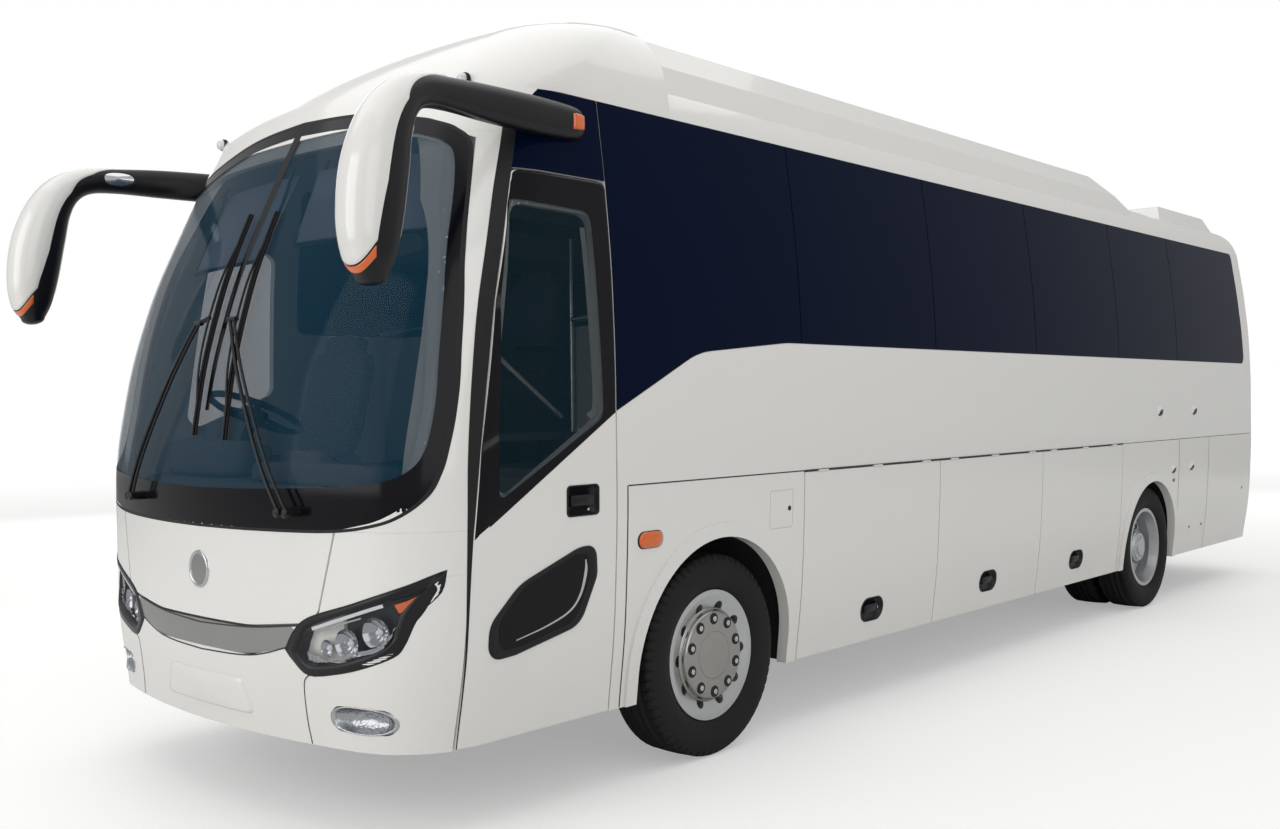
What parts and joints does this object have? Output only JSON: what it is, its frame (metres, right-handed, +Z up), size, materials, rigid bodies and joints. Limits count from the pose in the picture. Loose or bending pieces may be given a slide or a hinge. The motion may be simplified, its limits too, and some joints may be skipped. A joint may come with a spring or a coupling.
{
  "type": "coach bus",
  "caption": "High-deck coach bus with a plug door, luggage hold doors under the saloon, hanging mirrors, a domed roof cap and an air conditioner between roof fairings.",
  "frame": {"origin": "on the ground under the middle of the whole vehicle", "axes": "+Z up, +Y towards the tail (nose towards -Y), +X towards the side with the passenger door"},
  "size_m": [2.8654, 10.1074, 3.3849],
  "materials": {
    "body_paint": "gloss white painted panel",
    "steel_body": "gloss white painted steel",
    "tint_glass": "dark tinted bonded glass",
    "clear_glass": "light tinted laminated glass",
    "rubber_black": "black rubber",
    "tyre": "black tyre",
    "rim_silver": "satin silver paint",
    "frame_black": "black chassis paint",
    "axle_iron": "black painted forging",
    "floor_board": "boarded floor with vinyl",
    "hold_metal": "mill finish sheet",
    "housing_black": "black sprayed liner",
    "trim_silver": "satin silver paint",
    "lamp_clear": "clear lamp lens",
    "lamp_red": "red lamp lens",
    "lamp_amber": "amber lamp lens",
    "dash_grey": "grey grained trim",
    "seat_fabric": "woven seat cover",
    "rack_grey": "light grey trim"
  },
  "bodies": {
    "coach": {"side_wall_left": "steel_body", "side_wall_right": "steel_body", "side_glass": "tint_glass", "roof_shell": "steel_body", "windscreen": "clear_glass", "front_roof_cap": "body_paint", "roof_fairings": "body_paint", "air_conditioner": "body_paint", "rear_roof_cap": "body_paint", "roof_hatch": "body_paint", "windscreen_frame": "steel_body", "front_corner_panels": "body_paint", "front_bumper": "body_paint", "trim_strip": "trim_silver", "front_lamps": "lamp_clear", "lower_side_panels": "steel_body", "arch_flares": "body_paint", "marker_lamps": "lamp_amber", "rear_wall": "body_paint", "rear_window": "tint_glass", "rear_bumper": "body_paint", "rear_lamps": "lamp_red", "chassis_frame": "frame_black", "front_axle": "axle_iron", "rear_axle": "axle_iron", "engine_block": "axle_iron", "wheel_housings": "housing_black", "saloon_floor": "floor_board", "entry_steps": "floor_board", "luggage_hold": "hold_metal", "dashboard": "dash_grey", "steering_wheel": "rubber_black", "driver_seat": "seat_fabric", "passenger_seats": "seat_fabric", "luggage_racks": "rack_grey", "mirrors": "body_paint", "wipers": "rubber_black"},
    "knuckle_left": {"knuckle_left": "axle_iron"},
    "knuckle_right": {"knuckle_right": "axle_iron"},
    "wheel_front_left": {"tyre_front_left": "tyre", "rim_front_left": "rim_silver"},
    "wheel_front_right": {"tyre_front_right": "tyre", "rim_front_right": "rim_silver"},
    "wheel_rear_left": {"tyre_rear_left": "tyre", "rim_rear_left": "rim_silver"},
    "wheel_rear_right": {"tyre_rear_right": "tyre", "rim_rear_right": "rim_silver"},
    "door_arm": {"door_arm": "frame_black"},
    "passenger_door": {"door_leaf": "steel_body", "door_glass": "tint_glass"},
    "locker_left_1": {"locker_left_1": "hold_metal"},
    "locker_left_2": {"locker_left_2": "hold_metal"},
    "locker_left_3": {"locker_left_3": "hold_metal"},
    "locker_right_1": {"locker_right_1": "hold_metal"},
    "locker_right_2": {"locker_right_2": "hold_metal"},
    "locker_right_3": {"locker_right_3": "hold_metal"},
    "engine_door": {"engine_door": "body_paint"},
    "front_lid_arms": {"front_lid_arms": "frame_black"},
    "front_lid": {"front_lid": "body_paint"}
  },
  "joints": [
    {"name": "steer_left", "type": "hinge", "parent": "coach", "child": "knuckle_left", "pos_m": [0.9, -2.9445, 0.465], "axis": [0, 0, 1], "range_deg": [-40, 40]},
    {"name": "spin_front_left", "type": "hinge", "parent": "knuckle_left", "child": "wheel_front_left", "pos_m": [1.065, -2.9445, 0.465], "axis": [1, 0, 0], "continuous": true},
    {"name": "spin_rear_left", "type": "hinge", "parent": "coach", "child": "wheel_rear_left", "pos_m": [1.065, 2.4025, 0.465], "axis": [1, 0, 0], "continuous": true},
    {"name": "steer_right", "type": "hinge", "parent": "coach", "child": "knuckle_right", "pos_m": [-0.9, -2.9445, 0.465], "axis": [0, 0, 1], "range_deg": [-40, 40]},
    {"name": "spin_front_right", "type": "hinge", "parent": "knuckle_right", "child": "wheel_front_right", "pos_m": [-1.065, -2.9445, 0.465], "axis": [1, 0, 0], "continuous": true},
    {"name": "spin_rear_right", "type": "hinge", "parent": "coach", "child": "wheel_rear_right", "pos_m": [-1.065, 2.4025, 0.465], "axis": [1, 0, 0], "continuous": true},
    {"name": "door_swing", "type": "hinge", "parent": "coach", "child": "door_arm", "pos_m": [1.095, -4.2875, 1], "axis": [0, 0, -1], "range_deg": [0, 95]},
    {"name": "door_stay", "type": "hinge", "parent": "door_arm", "child": "passenger_door", "pos_m": [1.125, -3.7275, 1], "axis": [0, 0, -1], "range_deg": [-95, 0]},
    {"name": "locker_left_1_lift", "type": "hinge", "parent": "coach", "child": "locker_left_1", "pos_m": [1.245, -1.6145, 1.28], "axis": [0, -1, 0], "range_deg": [0, 80]},
    {"name": "locker_left_2_lift", "type": "hinge", "parent": "coach", "child": "locker_left_2", "pos_m": [1.245, -0.2535, 1.28], "axis": [0, -1, 0], "range_deg": [0, 80]},
    {"name": "locker_left_3_lift", "type": "hinge", "parent": "coach", "child": "locker_left_3", "pos_m": [1.245, 1.1035, 1.28], "axis": [0, -1, 0], "range_deg": [0, 80]},
    {"name": "locker_right_1_lift", "type": "hinge", "parent": "coach", "child": "locker_right_1", "pos_m": [-1.245, -1.6145, 1.28], "axis": [0, 1, 0], "range_deg": [0, 80]},
    {"name": "locker_right_2_lift", "type": "hinge", "parent": "coach", "child": "locker_right_2", "pos_m": [-1.245, -0.2535, 1.28], "axis": [0, 1, 0], "range_deg": [0, 80]},
    {"name": "locker_right_3_lift", "type": "hinge", "parent": "coach", "child": "locker_right_3", "pos_m": [-1.245, 1.1035, 1.28], "axis": [0, 1, 0], "range_deg": [0, 80]},
    {"name": "engine_door_lift", "type": "hinge", "parent": "coach", "child": "engine_door", "pos_m": [0, 5.0525, 1.564], "axis": [1, 0, 0], "range_deg": [0, 75]},
    {"name": "front_lid_swing", "type": "hinge", "parent": "coach", "child": "front_lid_arms", "pos_m": [0, -4.6975, 1.09], "axis": [-1, 0, 0], "range_deg": [0, 80]},
    {"name": "front_lid_stay", "type": "hinge", "parent": "front_lid_arms", "child": "front_lid", "pos_m": [0, -4.6975, 0.89], "axis": [-1, 0, 0], "range_deg": [-80, 0]}
  ],
  "couplings": [
    {"joint": "steer_right", "follows": "steer_left", "ratio": 1},
    {"joint": "door_stay", "follows": "door_swing", "ratio": -1},
    {"joint": "front_lid_stay", "follows": "front_lid_swing", "ratio": -1}
  ]
}
